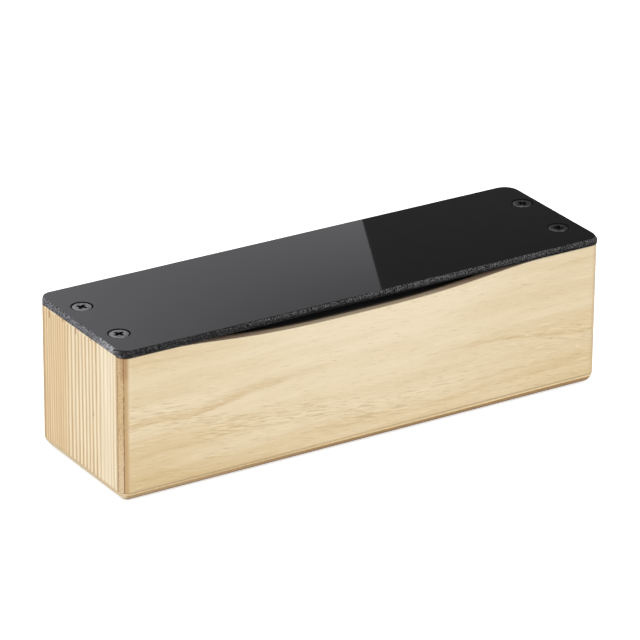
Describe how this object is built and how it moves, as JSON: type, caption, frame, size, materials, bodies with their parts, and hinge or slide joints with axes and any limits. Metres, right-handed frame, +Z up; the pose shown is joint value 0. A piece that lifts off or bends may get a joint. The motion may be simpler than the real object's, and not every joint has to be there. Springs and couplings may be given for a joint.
{
  "type": "percussion shaker",
  "caption": "Hand-held box shaker with wooden sides, solid end blocks, a glossy black screwed top plate over a curved sound slot, and loose steel shot inside.",
  "frame": {"origin": "centre of the footprint on the underside of the base", "axes": "+X along the box towards the right end, +Y towards the rear, +Z up through the top plate"},
  "size_m": [0.2008, 0.0598, 0.0578],
  "materials": {
    "plywood": "clear matt lacquer",
    "softwood": "clear matt lacquer",
    "black_plate": "high gloss, rough sawn edge",
    "black_board": "matt black paint",
    "black_screw": "black oxide",
    "steel_shot": "bright"
  },
  "bodies": {
    "box": {"bottom_panel": "plywood", "front_panel": "plywood", "rear_panel": "plywood", "left_end_block": "softwood", "right_end_block": "softwood", "chamber_cover": "black_board", "top_plate": "black_plate", "screw_front_left": "black_screw", "screw_rear_left": "black_screw", "screw_front_right": "black_screw", "screw_rear_right": "black_screw"},
    "shot_01": {"shot_ball_01": "steel_shot"},
    "shot_02": {"shot_ball_02": "steel_shot"},
    "shot_03": {"shot_ball_03": "steel_shot"},
    "shot_04": {"shot_ball_04": "steel_shot"},
    "shot_05": {"shot_ball_05": "steel_shot"},
    "shot_06": {"shot_ball_06": "steel_shot"},
    "shot_07": {"shot_ball_07": "steel_shot"},
    "shot_08": {"shot_ball_08": "steel_shot"},
    "shot_09": {"shot_ball_09": "steel_shot"},
    "shot_10": {"shot_ball_10": "steel_shot"},
    "shot_11": {"shot_ball_11": "steel_shot"},
    "shot_12": {"shot_ball_12": "steel_shot"},
    "shot_13": {"shot_ball_13": "steel_shot"},
    "shot_14": {"shot_ball_14": "steel_shot"},
    "shot_15": {"shot_ball_15": "steel_shot"},
    "shot_16": {"shot_ball_16": "steel_shot"},
    "shot_17": {"shot_ball_17": "steel_shot"},
    "shot_18": {"shot_ball_18": "steel_shot"},
    "shot_19": {"shot_ball_19": "steel_shot"},
    "shot_20": {"shot_ball_20": "steel_shot"},
    "shot_21": {"shot_ball_21": "steel_shot"},
    "shot_22": {"shot_ball_22": "steel_shot"},
    "shot_23": {"shot_ball_23": "steel_shot"},
    "shot_24": {"shot_ball_24": "steel_shot"}
  },
  "joints": [
    {"name": "shot_01_run", "type": "slide", "parent": "box", "child": "shot_01", "axis": [0, 1, 0], "range_m": [-0.0357, 0.0087]},
    {"name": "shot_02_run", "type": "slide", "parent": "box", "child": "shot_02", "axis": [0, 1, 0], "range_m": [-0.0023, 0.0421]},
    {"name": "shot_03_run", "type": "slide", "parent": "box", "child": "shot_03", "axis": [0, 1, 0], "range_m": [-0.03805, 0.00635]},
    {"name": "shot_04_run", "type": "slide", "parent": "box", "child": "shot_04", "axis": [0, 1, 0], "range_m": [-0.01873, 0.02567]},
    {"name": "shot_05_run", "type": "slide", "parent": "box", "child": "shot_05", "axis": [0, 1, 0], "range_m": [-0.01146, 0.03294]},
    {"name": "shot_06_run", "type": "slide", "parent": "box", "child": "shot_06", "axis": [0, 1, 0], "range_m": [-0.0415, 0.0029]},
    {"name": "shot_07_run", "type": "slide", "parent": "box", "child": "shot_07", "axis": [0, 1, 0], "range_m": [-0.00448, 0.03992]},
    {"name": "shot_08_run", "type": "slide", "parent": "box", "child": "shot_08", "axis": [0, 1, 0], "range_m": [-0.02903, 0.01537]},
    {"name": "shot_09_run", "type": "slide", "parent": "box", "child": "shot_09", "axis": [0, 1, 0], "range_m": [-0.02985, 0.01455]},
    {"name": "shot_10_run", "type": "slide", "parent": "box", "child": "shot_10", "axis": [0, 1, 0], "range_m": [-0.00409, 0.04031]},
    {"name": "shot_11_run", "type": "slide", "parent": "box", "child": "shot_11", "axis": [0, 1, 0], "range_m": [-0.04126, 0.00314]},
    {"name": "shot_12_run", "type": "slide", "parent": "box", "child": "shot_12", "axis": [0, 1, 0], "range_m": [-0.01221, 0.03219]},
    {"name": "shot_13_run", "type": "slide", "parent": "box", "child": "shot_13", "axis": [0, 1, 0], "range_m": [-0.01788, 0.02652]},
    {"name": "shot_14_run", "type": "slide", "parent": "box", "child": "shot_14", "axis": [0, 1, 0], "range_m": [-0.03857, 0.00583]},
    {"name": "shot_15_run", "type": "slide", "parent": "box", "child": "shot_15", "axis": [0, 1, 0], "range_m": [-0.00239, 0.04201]},
    {"name": "shot_16_run", "type": "slide", "parent": "box", "child": "shot_16", "axis": [0, 1, 0], "range_m": [-0.03504, 0.00936]},
    {"name": "shot_17_run", "type": "slide", "parent": "box", "child": "shot_17", "axis": [0, 1, 0], "range_m": [-0.02307, 0.02133]},
    {"name": "shot_18_run", "type": "slide", "parent": "box", "child": "shot_18", "axis": [0, 1, 0], "range_m": [-0.00807, 0.03633]},
    {"name": "shot_19_run", "type": "slide", "parent": "box", "child": "shot_19", "axis": [0, 1, 0], "range_m": [-0.04216, 0.00224]},
    {"name": "shot_20_run", "type": "slide", "parent": "box", "child": "shot_20", "axis": [0, 1, 0], "range_m": [-0.00689, 0.03751]},
    {"name": "shot_21_run", "type": "slide", "parent": "box", "child": "shot_21", "axis": [0, 1, 0], "range_m": [-0.02481, 0.01959]},
    {"name": "shot_22_run", "type": "slide", "parent": "box", "child": "shot_22", "axis": [0, 1, 0], "range_m": [-0.03366, 0.01074]},
    {"name": "shot_23_run", "type": "slide", "parent": "box", "child": "shot_23", "axis": [0, 1, 0], "range_m": [-0.00269, 0.04171]},
    {"name": "shot_24_run", "type": "slide", "parent": "box", "child": "shot_24", "axis": [0, 1, 0], "range_m": [-0.0395, 0.0049]}
  ]
}
